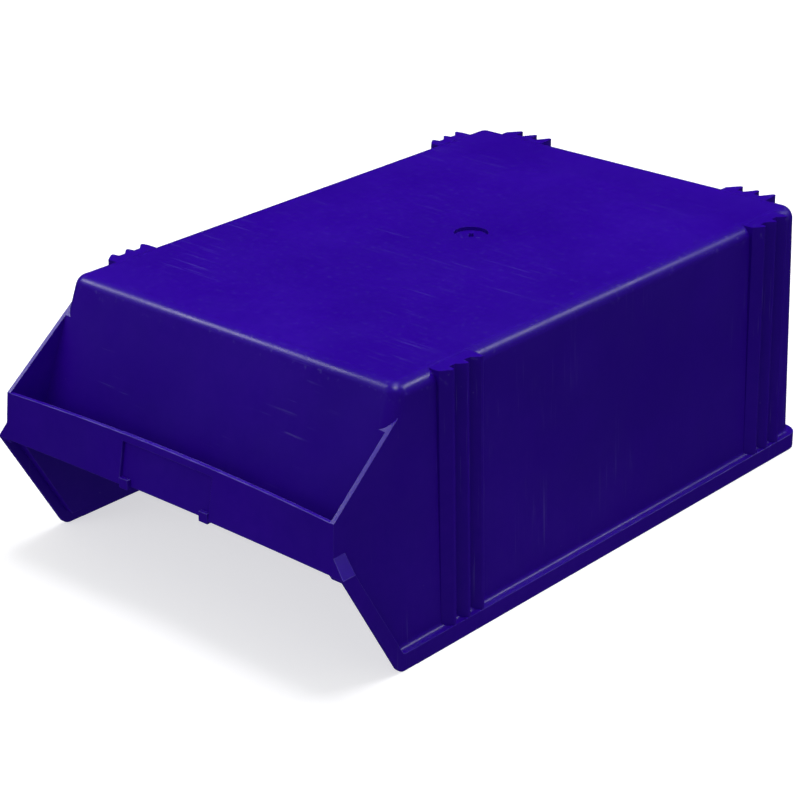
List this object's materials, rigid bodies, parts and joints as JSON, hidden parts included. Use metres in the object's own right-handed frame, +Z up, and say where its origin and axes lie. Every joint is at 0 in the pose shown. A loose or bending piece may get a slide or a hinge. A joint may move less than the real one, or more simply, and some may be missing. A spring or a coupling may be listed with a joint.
{
  "type": "stackable storage bin",
  "caption": "Open-fronted stackable storage bin with tapered walls, sloping front panel, bowed label lip, stepped stacking rim and grouped ribs, stored turned over on its rim.",
  "frame": {"origin": "centre of the bounding box at the rim plane, the plane the turned-over bin rests on", "axes": "+X across the bin to its right side seen from the front of the turned-over bin, +Y from the lip to the rear wall, +Z up from the rim to the outer face of the floor; turn the bin 180 degrees about Y to use it upright"},
  "size_m": [0.31, 0.504, 0.185],
  "materials": {
    "bin_plastic": "satin moulded blue polypropylene"
  },
  "bodies": {
    "root": {"floor_panel": "bin_plastic", "gate_boss": "bin_plastic", "front_panel": "bin_plastic", "rear_wall": "bin_plastic", "left_side_wall": "bin_plastic", "right_side_wall": "bin_plastic", "left_post": "bin_plastic", "right_post": "bin_plastic", "left_rim": "bin_plastic", "right_rim": "bin_plastic", "rear_rim": "bin_plastic", "front_lip": "bin_plastic", "lip_ledge": "bin_plastic", "left_label_stop": "bin_plastic", "right_label_stop": "bin_plastic", "left_front_ribs": "bin_plastic", "left_rear_ribs": "bin_plastic", "right_front_ribs": "bin_plastic", "right_rear_ribs": "bin_plastic", "back_left_ribs": "bin_plastic", "back_right_ribs": "bin_plastic"}
  },
  "joints": []
}
